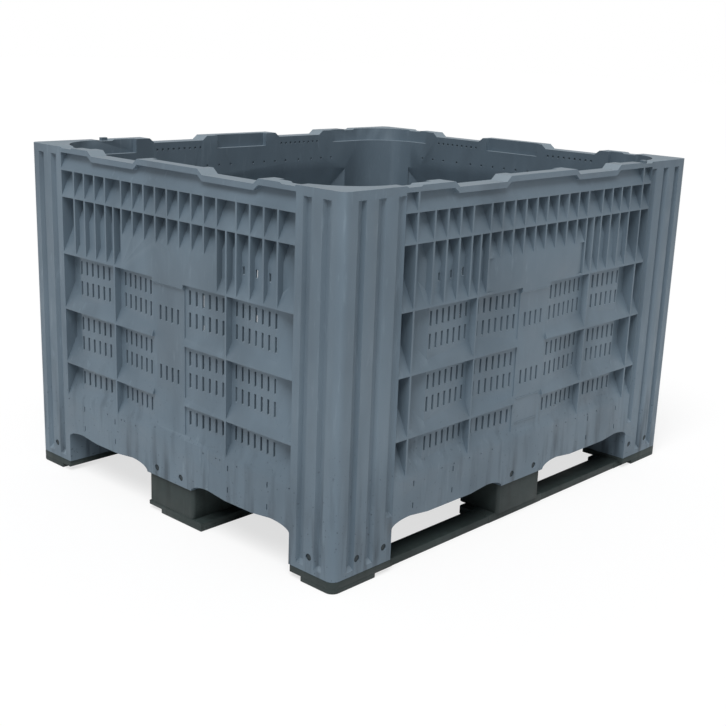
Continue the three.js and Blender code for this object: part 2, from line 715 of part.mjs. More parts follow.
// Runner under one long side; side is -1 for the front and +1 for the back.
function makeSideRunner(side) {
  const half = WIDTH / 2;
  const plateTop = BODY_BOTTOM - FIT_GAP;
  const solids = [];
  const holes = [];
  const edge = LENGTH / 2;

  [1, -1].forEach((end) => {
    const plate = toSolid(column(
      roundedPlan(edge, half, CORNER_RADIUS, CORNER_STEPS),
      PLATE_BOTTOM,
      plateTop,
    ));
    const plateZone = toSolid(box(
      end > 0 ? [LONG_WALL.postEdge, -half, 0] : [-edge, -half, 0],
      end > 0 ? [edge, -PLATE_INNER, BODY_BOTTOM] : [-LONG_WALL.postEdge, -PLATE_INNER, BODY_BOTTOM],
    ));
    solids.push(plate.intersect(plateZone));
    const pad = toSolid(column(roundedPlan(edge, half, CORNER_RADIUS, CORNER_STEPS), 0, PLATE_BOTTOM + 2));
    const xs = [end * TOE_END, end * edge].sort((a, b) => a - b);
    solids.push(pad.intersect(toSolid(box([xs[0], -half, 0], [xs[1], -PAD_INNER, BODY_BOTTOM]))));
    const neck = [end * PAD_END, end * (TOE_END + 1)].sort((a, b) => a - b);
    solids.push(toSolid(box(
      [neck[0], -half + STRIP_SETBACK + 1, 0],
      [neck[1], -PAD_INNER - 1, STRIP_TOP - 1],
    )));
  });

  const stripNear = -half + STRIP_SETBACK;
  solids.push(toSolid(box([-PAD_END - 5, stripNear, 0], [PAD_END + 5, stripNear + STRIP_WIDTH, STRIP_TOP])));
  const padHalfY = (half - STRIP_SETBACK - PAD_INNER + 6) / 2;
  solids.push(toSolid(column(
    shifted(roundedPlan(MIDDLE_PAD_HALF, padHalfY, EDGE_RADIUS, 3), 0, stripNear + padHalfY),
    0,
    STRIP_TOP + 2,
  )));

  const blockNear = -half + BLOCK_SETBACK;
  const blockHalfY = (-BLOCK_INNER - blockNear) / 2;
  const blockY = blockNear + blockHalfY;
  const blockTop = BLOCK_TOP - FIT_GAP;
  const block = toSolid(column(
    shifted(roundedPlan(BLOCK_HALF_X, blockHalfY, EDGE_RADIUS, 3), 0, blockY),
    STRIP_TOP - 4,
    blockTop,
  ));
  const hollow = toSolid(box(
    [-BLOCK_HALF_X + BLOCK_WALL, blockNear + BLOCK_WALL + LUG_THICKNESS / 2, BLOCK_FLOOR],
    [BLOCK_HALF_X - BLOCK_WALL, -BLOCK_INNER - BLOCK_WALL, HEIGHT],
  ));
  solids.push(block.subtract(hollow));

  const toWall = new THREE.Matrix4().makeTranslation(0, -half, 0);
  const roomInset = POST_WALL + FIT_GAP;
  const lugRoom = toSolid(column(
    roundedPlan(edge - roomInset, half - roomInset, CORNER_RADIUS - roomInset, CORNER_STEPS),
    0,
    FLOOR_TOP,
  ));
  pinPlaces(LONG_WALL).forEach((pin) => {
    const { lug, hole } = lugParts(pin, pin.name === 'foot' ? PLATE_BOTTOM + 2 : BLOCK_FLOOR);
    const solid = toSolid(lug.applyMatrix4(toWall));
    solids.push(pin.name === 'foot' ? solid.intersect(lugRoom) : solid);
    holes.push(toSolid(hole.applyMatrix4(toWall)));
  });
  shortFootPins(-1).forEach(({ lug, hole }) => {
    solids.push(toSolid(lug).intersect(lugRoom));
    holes.push(toSolid(hole));
  });
  const runner = joinAll(solids).subtract(joinAll(holes));
  const geometry = toGeometry(runner);
  if (side > 0) {
    geometry.rotateZ(Math.PI);
  }
  return geometry;
}

// Lugs for the pins in the short walls' feet, on the side of the box with the given sign of y.
function shortFootPins(sign) {
  return wallMatrices(SHORT_WALL).flatMap((matrix) => pinPlaces(SHORT_WALL)
    .filter((pin) => pin.name === 'foot')
    .map((pin) => {
      const parts = lugParts(pin, PLATE_BOTTOM + 2);
      const place = new THREE.Vector3(pin.s, 0, 0).applyMatrix4(matrix);
      return { place, lug: parts.lug.applyMatrix4(matrix), hole: parts.hole.applyMatrix4(matrix) };
    })
    .filter(({ place }) => Math.sign(place.y) === sign));
}

// Runner under the middle, with blocks at both ends and at the centre.
function makeMiddleRunner() {
  const edge = LENGTH / 2;
  const solids = [];
  const holes = [];
  const blockTop = BLOCK_TOP - FIT_GAP;
  const blockEnd = edge - BLOCK_SETBACK - PAD_LEAD;
  const endHalf = (blockEnd - LONG_WALL.postEdge) / 2;
  const blocks = [
    { x: 0, halfX: BLOCK_HALF_X },
    { x: -LONG_WALL.postEdge - endHalf, halfX: endHalf },
    { x: LONG_WALL.postEdge + endHalf, halfX: endHalf },
  ];
  blocks.forEach(({ x, halfX }) => {
    const block = toSolid(column(
      shifted(roundedPlan(halfX, BLOCK_HALF_Y, EDGE_RADIUS, 3), x, 0),
      STRIP_TOP - 4,
      blockTop,
    ));
    const inset = x === 0 ? BLOCK_WALL : BLOCK_WALL + LUG_THICKNESS / 2;
    const hollow = toSolid(box(
      [x - halfX + inset, -BLOCK_HALF_Y + BLOCK_WALL, BLOCK_FLOOR],
      [x + halfX - inset, BLOCK_HALF_Y - BLOCK_WALL, HEIGHT],
    ));
    solids.push(block.subtract(hollow));
    if (x === 0) {
      const pad = roundedPlan(MIDDLE_PAD_HALF, MIDDLE_PAD_HALF, EDGE_RADIUS, 3);
      solids.push(toSolid(column(pad, 0, STRIP_TOP + 2)));
      return;
    }
    const padEnd = blockEnd + PAD_LEAD;
    const padSide = BLOCK_HALF_Y + PAD_LEAD;
    const endPad = [
      [PAD_END, padSide],
      [PAD_END, -MIDDLE_PAD_HALF],
      [padEnd, -MIDDLE_PAD_HALF],
      [padEnd, padSide],
    ].map(([px, py]) => [Math.sign(x) * px, -Math.sign(x) * py]);
    solids.push(toSolid(column(endPad, 0, STRIP_TOP + 2)));
  });
  solids.push(toSolid(box([-PAD_END - 5, -STRIP_WIDTH / 2, 0], [PAD_END + 5, STRIP_WIDTH / 2, STRIP_TOP])));

  wallMatrices(SHORT_WALL).forEach((matrix) => {
    pinPlaces(SHORT_WALL).filter((pin) => pin.name === 'middle').forEach((pin) => {
      const { lug, hole } = lugParts(pin, BLOCK_FLOOR);
      solids.push(toSolid(lug.applyMatrix4(matrix)));
      holes.push(toSolid(hole.applyMatrix4(matrix)));
    });
  });
  [1, -1].forEach((turn) => {
    const xs = [-turn * edge, -turn * (edge - TOE_NOTCH)].sort((a, b) => a - b);
    const ys = [turn * TOE_NOTCH_START, turn * (MIDDLE_PAD_HALF + 1)].sort((a, b) => a - b);
    holes.push(toSolid(box([xs[0], ys[0], -1], [xs[1], ys[1], PLATE_BOTTOM - 1])));
  });
  return toGeometry(joinAll(solids).subtract(joinAll(holes)));
}

// A fixing pin, lying along the depth of its wall.
function makePin() {
  return depthCylinder(0, 0, PIN_RADIUS, 0, PIN_LENGTH);
}

const bodyGrey = new THREE.MeshStandardMaterial({ color: 0x74838f, roughness: 0.55, metalness: 0 });
const runnerDark = new THREE.MeshStandardMaterial({ color: 0x36413f, roughness: 0.6, metalness: 0 });
const pinDark = new THREE.MeshStandardMaterial({ color: 0x2f3c42, roughness: 0.5, metalness: 0 });

const group = new THREE.Group();

function addPart(name, geometry, material) {
  geometry.computeVertexNormals();
  const mesh = new THREE.Mesh(geometry, material.clone());
  mesh.name = name;
  group.add(mesh);
  return mesh;
}

addPart('box_body', toGeometry(makeBody()), bodyGrey);
addPart('runner_front', makeSideRunner(-1), runnerDark);
addPart('runner_middle', makeMiddleRunner(), runnerDark);
addPart('runner_back', makeSideRunner(1), runnerDark);

const WALL_NAMES = new Map([[LONG_WALL, ['front', 'back']], [SHORT_WALL, ['left', 'right']]]);
WALL_NAMES.forEach((names, wall) => {
  wallMatrices(wall).forEach((matrix, turn) => {
    const counts = { foot: 0, middle: 0 };
    pinPlaces(wall).forEach((pin) => {
      counts[pin.name] += 1;
      const geometry = makePin().translate(pin.s, PIN_SINK, pin.z).applyMatrix4(matrix);
      addPart(`pin_${names[turn]}_${pin.name}_${counts[pin.name]}`, geometry, pinDark);
    });
  });
});

export default group;
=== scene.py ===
"""Looks of the plastic pallet box: the ribbed and slotted body, the runners and their pins."""

import math

import bpy
from mathutils import Matrix, Vector


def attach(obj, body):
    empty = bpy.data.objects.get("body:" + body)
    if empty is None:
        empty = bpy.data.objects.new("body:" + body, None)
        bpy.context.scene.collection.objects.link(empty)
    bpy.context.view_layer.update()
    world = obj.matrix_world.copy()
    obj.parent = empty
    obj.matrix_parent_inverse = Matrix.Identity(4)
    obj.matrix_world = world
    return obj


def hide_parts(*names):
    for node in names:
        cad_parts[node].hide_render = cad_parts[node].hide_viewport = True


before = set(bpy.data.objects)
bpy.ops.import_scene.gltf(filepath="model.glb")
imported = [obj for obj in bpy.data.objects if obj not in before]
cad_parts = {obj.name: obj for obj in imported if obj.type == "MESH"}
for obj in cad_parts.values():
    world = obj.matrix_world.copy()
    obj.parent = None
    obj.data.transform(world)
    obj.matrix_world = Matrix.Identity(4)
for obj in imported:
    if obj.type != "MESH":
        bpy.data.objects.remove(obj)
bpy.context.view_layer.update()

MM = 0.001

# Overall sizes, in millimetres
LENGTH = 1200
WIDTH = 1000
HEIGHT = 765.5
BODY_BOTTOM = 25
UNDER = 20
CORNER_RADIUS = 18
INNER_RADIUS = 110
WALL_DEPTH = 41
SKIN = 4.5
FLOOR_TOP = 155
FLOOR_THICKNESS = 6
CORNER_STEPS = 14
FIT_GAP = 0.3
OVERCUT = 1
RIM_CLEAR = 6
ROOM_X = LENGTH / 2 - WALL_DEPTH
ROOM_Y = WIDTH / 2 - WALL_DEPTH
BODY_BEVEL = 1.1
RUNNER_BEVEL = 1.5
PIN_BEVEL = 1.2
BEVEL_ANGLE = 40
SMOOTH_ANGLE = 32

# Ribs
MODULE = 19.5
ROW_PITCH = 128.4
SKIRT_TOP = 193
LOWEST_RIB = 270
UPPER_ROW = 59.5
RIB_EDGE = 4
RIB_WIDTH = 5
WEDGE_SLOPE = 2
SILL_EDGE = 0.5
LEAN_TOP = 12
ROW_RIBS = [LOWEST_RIB + row * ROW_PITCH for row in range(4)]
BAND_BOTTOM = ROW_RIBS[3] + UPPER_ROW

# Rim
LIP_HEIGHT = 12
NOTCH_DROP = 11
SHOULDER_DROP = 3
RAMP = 14
SHOULDER_RAMP = 5
LEDGE_HEIGHT = 33
LEDGE_STEP = 13
LEDGE_HALF = 84
BAND_TOP_EDGE = 4
NUB_PLAN = ((402, 485), (418, 485), (418, 495), (402, 495))
NUB_HEIGHT = 7
NUB_SINK = 2

# Depths of the slotted skin below the outer face
DEPTH_AT_STEM = 7
DEPTH_AT_RIB = 15.5
DEPTH_AT_LAST_SLOT = 9
DEPTH_AT_POST = 28
DEPTH_BEFORE_POST = 23
STEM_RECESS = 5

# Hollow on the inside of the walls
RECESS_BOTTOM = 163
RECESS_TOP_EDGE = 4
RECESS_SILL = 1.2
RECESS_LEAN = 2.2
RECESS_END = 45
RECESS_LEAST = 0.2

# T shaped panel
BAR_BOTTOM = 521
BAR_TOP = 600
BAR_END_BOTTOM = 531
BAR_END_TOP = 602
STEM_HALF = 51
STEM_TOP_FRONT = 519
STEM_TOP_BACK = 513
PLATE_LINES = (221, 277)
PLATE_LINE_HALF = 40
PLATE_LINE_WIDTH = 1.8
PLATE_LINE_RISE = 1.2

# Slots
SLOT_WIDTH = 6.2
LOWER_SLOT = (38, 71)
UPPER_SLOT = (85, 117)
SLIT = (44, 62)
SLOT_REACH = 4
SLOT_LOW_RISE = 10
SLOT_HIGH_RISE = 6

# Flutes of the corner posts
FLUTE_WIDTH = 21
FLUTE_FLOOR = 13
FLUTE_DEPTH = 8
FLUTE_BOTTOM = 36
FLUTE_TOP = 748
THIRD_FLUTE_BOTTOM = 118
FLUTE_LOW_SLOPE = 9
FLUTE_HIGH_SLOPE = 3
FLUTE_EDGE = 0.3
FLUTE_LEAD = 0.5

# Dimples and dashed slits of the skirt, and drain holes inside the rim
DIMPLE_DROP = 11
DIMPLE_SIZE = 2
DASH_HEIGHTS = (118, 165)
DASH_HALF = 1.6
DASH_DEPTH = 2.5
DASH_LENGTH = 12
DRAIN_RADIUS = 3.2
DRAIN_DEPTH = 3
UPPER_DRAINS = 737
LOWER_DRAINS = 690
DRAIN_MARGIN = 8
DRAINS_PER_NOTCH = 9
SMALL_ROUND_STEPS = 8

# Feet, skirt and fork openings
POST_WALL = 15
SKIRT_WALL = 5
RIB_WALL = 4.5
DECK_BOTTOM = 104
BLOCK_TOP = 87
ARCH_MIDDLE = 98
ARCH_CROWN = 104
ARCH_END = 89
ARCH_CURVE = 55
ARCH_STEPS = 10
FOOT_CORNER_STEPS = 4

# Runners
BLOCK_HALF_X = 77.5
BLOCK_HALF_Y = 76
BLOCK_SETBACK = 6
BLOCK_INNER = 386
PLATE_BOTTOM = 10
PLATE_TOP = 24.7
PLATE_INNER = 381
PAD_INNER = 412
PAD_END = 415
TOE_END = 480
STRIP_TOP = 17
STRIP_SETBACK = 13
STRIP_WIDTH = 52
SIDE_STRIP_HALF = 439
MIDDLE_STRIP_HALF = 420
PAD_TOP = 19
MIDDLE_PAD_HALF = 103
PAD_LEAD = 1
TOE_NOTCH = 20
TOE_NOTCH_START = 34
TOE_NOTCH_TOP = 9
PAD_RADIUS = 6
PAD_SHORTER = 6
PAD_STEPS = 4
BLOCK_RADIUS = 8
BLOCK_STEPS = 6

# Pins
PIN_RADIUS = 7
PIN_HOLE_RADIUS = 7.4
PIN_SINK = 1.5
PIN_LENGTH = 20
PIN_STEPS = 24
FOOT_PIN_HEIGHT = 58
MIDDLE_PIN_HEIGHT = 106
MIDDLE_PIN_OFFSET = 41

LONG_WALL = {
    "turns": (0, 2),
    "half": WIDTH / 2,
    "span": LENGTH,
    "edge": 437,
    "inner_rib": 10.5 * MODULE,
    "side_rib": 401.5,
    "last_slot": 345,
    "post_ramp": 22,
    "upper_ribs": [n * MODULE for n in (1, 3, 5, 7, 9, 12, 14, 16, 18)],
    "bar_rib": 9 * MODULE,
    "bar_half": 150,
    "notch": (132, 283),
    "tab_end": 392,
    "ledge_start": 337,
    "flutes": (46, 98.6, 152.2),
    "pins": (65, 141),
    "block_half": BLOCK_HALF_X,
    "slots": ((66, 185, 7), (222, 339, 7)),
    "dots": (120.5, 159.5, 199, 250, 289),
    "dashes": (252, 376),
}
SHORT_WALL = {
    "turns": (3, 1),
    "half": LENGTH / 2,
    "span": WIDTH,
    "edge": 378,
    "inner_rib": 9.5 * MODULE,
    "side_rib": None,
    "last_slot": 325,
    "post_ramp": 26,
    "upper_ribs": [n * MODULE for n in (0, 2, 4, 6, 8, 11, 13, 15, 17)],
    "bar_rib": 8 * MODULE,
    "bar_half": 153,
    "notch": (112, 262),
    "tab_end": 335,
    "ledge_start": 303,
    "flutes": (42.3, 92),
    "pins": (67,),
    "block_half": BLOCK_HALF_Y,
    "slots": ((65.2, 163, 6), (202.4, 322, 7)),
    "dots": (116, 157, 169.5, 222, 376),
    "dashes": (194, 313),
}
WALLS = (LONG_WALL, SHORT_WALL)


# Closed bodies, each a list of points and a list of faces

def loft(sections):
    """A body through cross sections that all have the same number of points."""
    count = len(sections[0])
    points = [Vector(p) for section in sections for p in section]
    faces = [list(range(count))[::-1], [len(points) - count + i for i in range(count)]]
    for k in range(len(sections) - 1):
        for i in range(count):
            j = (i + 1) % count
            a = k * count
            faces.append([a + i, a + j, a + count + j, a + count + i])
    volume = 0.0
    middle = sum(points, Vector()) / len(points)
    for face in faces:
        first = points[face[0]] - middle
        for i in range(1, len(face) - 1):
            volume += first.dot((points[face[i]] - middle).cross(points[face[i + 1]] - middle))
    if volume < 0:
        faces = [face[::-1] for face in faces]
    return points, faces


def prism(plan, low, high):
    return loft([[(x, y, low) for x, y in plan], [(x, y, high) for x, y in plan]])


def block(low, high):
    plan = [(low[0], low[1]), (high[0], low[1]), (high[0], high[1]), (low[0], high[1])]
    return prism(plan, low[2], high[2])


def curtain(outline, near, far):
    """A front outline of (s, z) points, through the depth."""
    return loft([[(s, near, z) for s, z in outline], [(s, far, z) for s, z in outline]])


def along(stops):
    """A body along the wall from (s, profile of depth and z) stops."""
    return loft([[(s, d, z) for d, z in profile] for s, profile in stops])


def rod(s, z, radius, near, far, steps=20):
    ring = [(s + radius * math.cos(2 * math.pi * i / steps), z + radius * math.sin(2 * math.pi * i / steps))
            for i in range(steps)]
    return curtain(ring, near, far)


def mirrored(make, low, high):
    return [make(low, high), make(-high, -low)]


def to_walls(wall, bodies):
    """The same bodies on both walls of a pair, in box coordinates."""
    out = []
    for turn in wall["turns"]:
        matrix = Matrix.Rotation(turn * math.pi / 2, 4, "Z") @ Matrix.Translation((0, -wall["half"], 0))
        out += [([matrix @ p for p in points], faces) for points, faces in bodies]
    return out


def rounded_plan(half_x, half_y, radius, steps=CORNER_STEPS, offset=(0, 0)):
    plan = []
    for quarter, (sx, sy) in enumerate(((1, 1), (-1, 1), (-1, -1), (1, -1))):
        for i in range(steps + 1):
            angle = (quarter + i / steps) * math.pi / 2
            plan.append((sx * (half_x - radius) + radius * math.cos(angle) + offset[0],
                         sy * (half_y - radius) + radius * math.sin(angle) + offset[1]))
    return plan


def arc(centre, radius, start, end, steps=CORNER_STEPS):
    return [(centre[0] + radius * math.cos(math.radians(start + (end - start) * i / steps)),
             centre[1] + radius * math.sin(math.radians(start + (end - start) * i / steps)))
            for i in range(steps + 1)]


def four_ways(plan):
    """A plan in the +x +y corner, and its mirror images in the other three."""
    return [[(sx * x, sy * y) for x, y in plan] for sx in (1, -1) for sy in (1, -1)]


def mesh_object(name, bodies):
    points, faces = [], []
    for body_points, body_faces in bodies:
        start = len(points)
        points += [p * MM for p in body_points]
        faces += [[start + i for i in face] for face in body_faces]
    mesh = bpy.data.meshes.new(name)
    mesh.from_pydata([tuple(p) for p in points], [], faces)
    mesh.update()
    made = bpy.data.objects.new(name, mesh)
    bpy.context.scene.collection.objects.link(made)
    return made


def apply_modifiers(target):
    graph = bpy.context.evaluated_depsgraph_get()
    mesh = bpy.data.meshes.new_from_object(target.evaluated_get(graph))
    target.modifiers.clear()
    old = target.data
    target.data = mesh
    bpy.data.meshes.remove(old)


def carve(target, bodies, operation="DIFFERENCE"):
    """Takes bodies that don't touch one another off the target, or joins them to it."""
    tool = mesh_object("tool", bodies)
    boolean = target.modifiers.new("carve", "BOOLEAN")
    boolean.operation = operation
    boolean.solver = "MANIFOLD"
    boolean.object = tool
    apply_modifiers(target)
    bpy.data.objects.remove(tool)


def finish_piece(piece, bevel, segments=2):
    """Small round edges, and smooth shading over the curved faces."""
    modifier = piece.modifiers.new("edges", "BEVEL")
    modifier.width = bevel * MM
    modifier.segments = segments
    modifier.limit_method = "ANGLE"
    modifier.angle_limit = math.radians(BEVEL_ANGLE)
    apply_modifiers(piece)
    piece.data.polygons.foreach_set("use_smooth", [True] * len(piece.data.polygons))
    piece.data.set_sharp_from_angle(angle=math.radians(SMOOTH_ANGLE))


# Wall forms

def skin_stops(wall):
    """Bends of the slotted skin over half a wall, as (s, depth) points."""
    stops = [(STEM_HALF, DEPTH_AT_STEM), (wall["inner_rib"], DEPTH_AT_RIB), (wall["last_slot"], DEPTH_AT_LAST_SLOT),
             (wall["last_slot"] + wall["post_ramp"], DEPTH_BEFORE_POST)]
    if wall["side_rib"]:
        stops.append((wall["side_rib"], DEPTH_AT_POST))
    return stops + [(wall["edge"], DEPTH_AT_POST)]


def skin_depth(wall, place):
    """Depth of the slotted skin at a place along the wall."""
    s = abs(place)
    stops = skin_stops(wall)
    if s <= stops[0][0]:
        return stops[0][1]
    for (s0, d0), (s1, d1) in zip(stops, stops[1:]):
        if s <= s1:
            return d0 + (d1 - d0) * (s - s0) / (s1 - s0)
    return stops[-1][1]


def sill(bottom, top, depth):
    """Profile of a pocket whose sill rises inward from the front edge of the rib below it."""
    reach = min(depth, (top - bottom) / WEDGE_SLOPE - SILL_EDGE)
    return [(-OVERCUT, bottom), (0, bottom), (reach, bottom + WEDGE_SLOPE * reach), (reach, top), (-OVERCUT, top)]


def tall(bottom, top, depth):
    """Profile of a tall pocket that leans inward again near its top."""
    lean = DEPTH_AT_POST - depth
    return [(-OVERCUT, bottom), (0, bottom), (depth, bottom + WEDGE_SLOPE * depth),
            (depth, top - WEDGE_SLOPE * lean - LEAN_TOP), (DEPTH_AT_POST, top - LEAN_TOP / 2),
            (DEPTH_AT_POST, top), (-OVERCUT, top)]


def cells(ribs, end, make):
    """Pockets between vertical ribs, from the first rib out to the end, on both halves of a wall."""
    out = []
    for i, rib in enumerate(ribs):
        high = ribs[i + 1] - RIB_WIDTH / 2 if i + 1 < len(ribs) else end
        out += mirrored(make, rib + RIB_WIDTH / 2, high)
    return out


def centre_cell(ribs, make):
    """The pocket between the first rib and its mirror image, if there are two."""
    return [make(-ribs[0] + RIB_WIDTH / 2, ribs[0] - RIB_WIDTH / 2)] if ribs[0] > 0 else []


def ribs_with_side(wall, ribs):
    return ribs + ([wall["side_rib"]] if wall["side_rib"] else [])


def stepped(wall, low, high, profile_at):
    """A pocket from low to high along the wall, with a section at each bend of the skin."""
    bends = sorted({sign * s for s, _ in skin_stops(wall) for sign in (1, -1)})
    places = [low] + [s for s in bends if low + 1 < s < high - 1] + [high]
    return along([(s, profile_at(skin_depth(wall, s))) for s in places])


def upper_row(wall):
    """Row of small pockets under the top band."""
    profile = sill(ROW_RIBS[3] + RIB_EDGE, BAND_BOTTOM, DEPTH_AT_POST)
    ribs = ribs_with_side(wall, wall["upper_ribs"])

    def small(low, high):
        return along([(low, profile), (high, profile)])

    return cells(ribs, wall["edge"], small) + centre_cell(ribs, small)


def bar_row(wall):
    """Tall pockets beside the T shaped panel, and short ones on its sloping top."""
    bottom, top = ROW_RIBS[2] + RIB_EDGE, ROW_RIBS[3]
    outer = [r for r in wall["upper_ribs"] if r > wall["bar_rib"]]
    inner = [r for r in wall["upper_ribs"] if r <= wall["bar_rib"]]
    ribs = ribs_with_side(wall, [wall["bar_rib"], wall["inner_rib"]] + outer)
    above = sill(BAR_TOP, top, DEPTH_AT_POST)

    def short(low, high):
        return along([(low, above), (high, above)])

    out = cells(ribs, wall["edge"], lambda a, b: stepped(wall, a, b, lambda d: tall(bottom, top, d)))
    out += cells(inner[:-1], inner[-1] - RIB_WIDTH / 2, short)
    return out + centre_cell(inner, short)


def slotted_row(wall, bottom, top):
    """A row of wide pockets with the slotted skin at their back."""
    half = RIB_WIDTH / 2
    edges = [STEM_HALF, wall["inner_rib"] - half, wall["inner_rib"] + half]
    edges += [wall["side_rib"] - half, wall["side_rib"] + half] if wall["side_rib"] else []
    edges.append(wall["edge"])
    out = []
    for low, high in zip(edges[::2], edges[1::2]):
        out += mirrored(lambda a, b: stepped(wall, a, b, lambda d: sill(bottom, top, d)), low, high)
    return out


def stem_recess(_wall):
    """The stem of the T lies a little deeper than its bar."""
    profile = sill(SKIRT_TOP, BAR_BOTTOM, STEM_RECESS)[:3]
    profile += [(STEM_RECESS, STEM_TOP_BACK), (-OVERCUT, STEM_TOP_FRONT)]
    return [along([(-STEM_HALF - OVERCUT, profile), (STEM_HALF + OVERCUT, profile)])]


def rim_line(wall):
    """The top edge of half a wall as (s, drop) points."""
    start, end = wall["notch"]
    return [(0, 0), (start - RAMP, 0), (start, NOTCH_DROP), (end, NOTCH_DROP), (end + RAMP, 0),
            (wall["tab_end"], 0), (wall["tab_end"] + SHOULDER_RAMP, SHOULDER_DROP),
            (wall["edge"] - SHOULDER_RAMP, SHOULDER_DROP), (wall["edge"], 0)]


def rim_cut(wall):
    """What is missing above the notches and the low shoulders of the rim."""
    line = rim_line(wall)[1:]
    above = HEIGHT + 8
    outline = [(s, HEIGHT - drop) for s, drop in line] + [(wall["edge"], above), (line[0][0], above)]
    left = [(-s, z) for s, z in outline]
    return [curtain(part, -OVERCUT, WALL_DEPTH + 2) for part in (outline, left)]


def top_band(wall):
    """The sloping face that runs back under the overhanging top of the rim, lower under the notches."""
    bottom = BAND_BOTTOM + RIB_EDGE
    line = rim_line(wall)[:6] + [(wall["edge"], 0)]
    full = [(-s, drop) for s, drop in line[:0:-1]] + line
    edges = [wall["edge"]]
    if wall["side_rib"]:
        edges = [wall["side_rib"] - RIB_WIDTH / 2, wall["side_rib"] + RIB_WIDTH / 2, wall["edge"]]
    edges = [-s for s in edges[::-1]] + edges

    def profile(drop):
        top = HEIGHT - LIP_HEIGHT - drop
        reach = (top - BAND_TOP_EDGE - bottom) / WEDGE_SLOPE
        return [(-OVERCUT, bottom), (0, bottom), (reach, bottom + WEDGE_SLOPE * reach), (reach, top), (-OVERCUT, top)]

    out = []
    for low, high in zip(edges[::2], edges[1::2]):
        inside = [(s, drop) for s, drop in full if low < s < high]
        out.append(along([(s, profile(drop)) for s, drop in [(low, 0)] + inside + [(high, 0)]]))
    return out


def slot_places(first, last, count):
    return [first + (last - first) * i / (count - 1) for i in range(count)]


def slot(s, bottom, top):
    """A through slot with sloping lower and upper ends."""
    left, right = s - SLOT_WIDTH / 2, s + SLOT_WIDTH / 2
    ends = ((-OVERCUT, bottom, top), (WALL_DEPTH + SLOT_REACH, bottom + SLOT_LOW_RISE, top + SLOT_HIGH_RISE))
    return loft([[(left, d, low), (right, d, low), (right, d, high), (left, d, high)] for d, low, high in ends])


def slots(wall):
    """All through slots of a wall, row by row from below."""
    out = []
    for row in range(3):
        base = ROW_RIBS[0] + (row - 1) * ROW_PITCH
        spans = [UPPER_SLOT] if row == 0 else [LOWER_SLOT, UPPER_SLOT]
        for group in wall["slots"]:
            for s in slot_places(*group):
                for low, high in spans:
                    out += [slot(s, base + low, base + high), slot(-s, base + low, base + high)]
        if row:
            low, high = LOWER_SLOT
            out += [slot(n * MODULE / 2, base + low, base + high) for n in (-3, -1, 1, 3)]
    for s in slot_places(*wall["slots"][1])[1::2]:
        for sign in (1, -1):
            out.append(slot(sign * s, ROW_RIBS[2] + SLIT[0], ROW_RIBS[2] + SLIT[1]))
    return out


def inner_recess(wall):
    """Hollow behind the slotted skin, on the inside of the wall."""
    top = ROW_RIBS[3]
    inside = WALL_DEPTH + OVERCUT

    def profile(depth):
        lean = WALL_DEPTH - depth
        return [(inside, RECESS_BOTTOM), (depth, RECESS_BOTTOM + RECESS_SILL * lean),
                (depth, top - RECESS_LEAN * lean), (WALL_DEPTH, top + RECESS_TOP_EDGE),
                (inside, top + RECESS_TOP_EDGE)]

    deep = [(s, d + SKIN) for s, d in skin_stops(wall)[:3]]
    deep.append((wall["last_slot"] + RECESS_END, WALL_DEPTH - RECESS_LEAST))
    return [along([(s, profile(d)) for s, d in [(-s, d) for s, d in deep[::-1]] + deep])]


def arch(wall):
    """Opening under the skirt: lower over the block, curved up beside it and down to the posts."""
    start, end = wall["block_half"], wall["edge"]

    def curve(place, sign, low):
        turns = [i / ARCH_STEPS * math.pi / 2 for i in range(ARCH_STEPS + 1)]
        return [(place + sign * ARCH_CURVE * (1 - math.cos(turn)), low + (ARCH_CROWN - low) * math.sin(turn))
                for turn in turns]

    half = curve(start, 1, BLOCK_TOP) + [(start + 2 * ARCH_CURVE, ARCH_MIDDLE), (end - 2 * ARCH_CURVE, ARCH_MIDDLE)]
    half += curve(end, -1, ARCH_END)[::-1] + [(end, UNDER)]
    outline = [(-s, z) for s, z in half[::-1]] + half
    return [curtain(outline, -OVERCUT, SKIRT_WALL + OVERCUT)]


def flutes(wall):
    """Grooves of the corner posts, with sloping ends; the third one starts higher."""
    out = []
    for place, offset in enumerate(wall["flutes"]):
        bottom = THIRD_FLUTE_BOTTOM if place == 2 else FLUTE_BOTTOM
        for sign in (1, -1):
            s = sign * (wall["span"] / 2 - offset)

            def section(z, depth):
                share = depth / FLUTE_DEPTH
                floor = FLUTE_WIDTH / 2 + (FLUTE_FLOOR - FLUTE_WIDTH) / 2 * share
                mouth = FLUTE_WIDTH / 2 + FLUTE_LEAD
                return [(s - mouth, -FLUTE_LEAD, z), (s + mouth, -FLUTE_LEAD, z),
                        (s + floor, depth, z), (s - floor, depth, z)]

            out.append(loft([section(bottom, FLUTE_EDGE), section(bottom + FLUTE_LOW_SLOPE, FLUTE_DEPTH),
                             section(FLUTE_TOP - FLUTE_HIGH_SLOPE, FLUTE_DEPTH),
                             section(FLUTE_TOP, FLUTE_DEPTH - FLUTE_HIGH_SLOPE)]))
    return out


def pin_places(wall):
    """Each pin of a wall, as its place, height and the thickness of the wall there."""
    places = [(sign * (wall["span"] / 2 - offset), FOOT_PIN_HEIGHT, POST_WALL)
              for offset in wall["pins"] for sign in (1, -1)]
    return places + [(sign * MIDDLE_PIN_OFFSET, MIDDLE_PIN_HEIGHT, SKIRT_WALL) for sign in (1, -1)]


def small_marks(wall):
    """Round dimples and dashed slits in the skirt."""
    dots = [rod(sign * s, SKIRT_TOP - DIMPLE_DROP, DIMPLE_SIZE, -OVERCUT, DIMPLE_SIZE, SMALL_ROUND_STEPS)
            for s in wall["dots"] for sign in (1, -1)]
    return dots + [block((sign * s - DASH_HALF, -OVERCUT, z), (sign * s + DASH_HALF, DASH_DEPTH, z + DASH_LENGTH))
                   for s in wall["dashes"] for sign in (1, -1) for z in DASH_HEIGHTS]


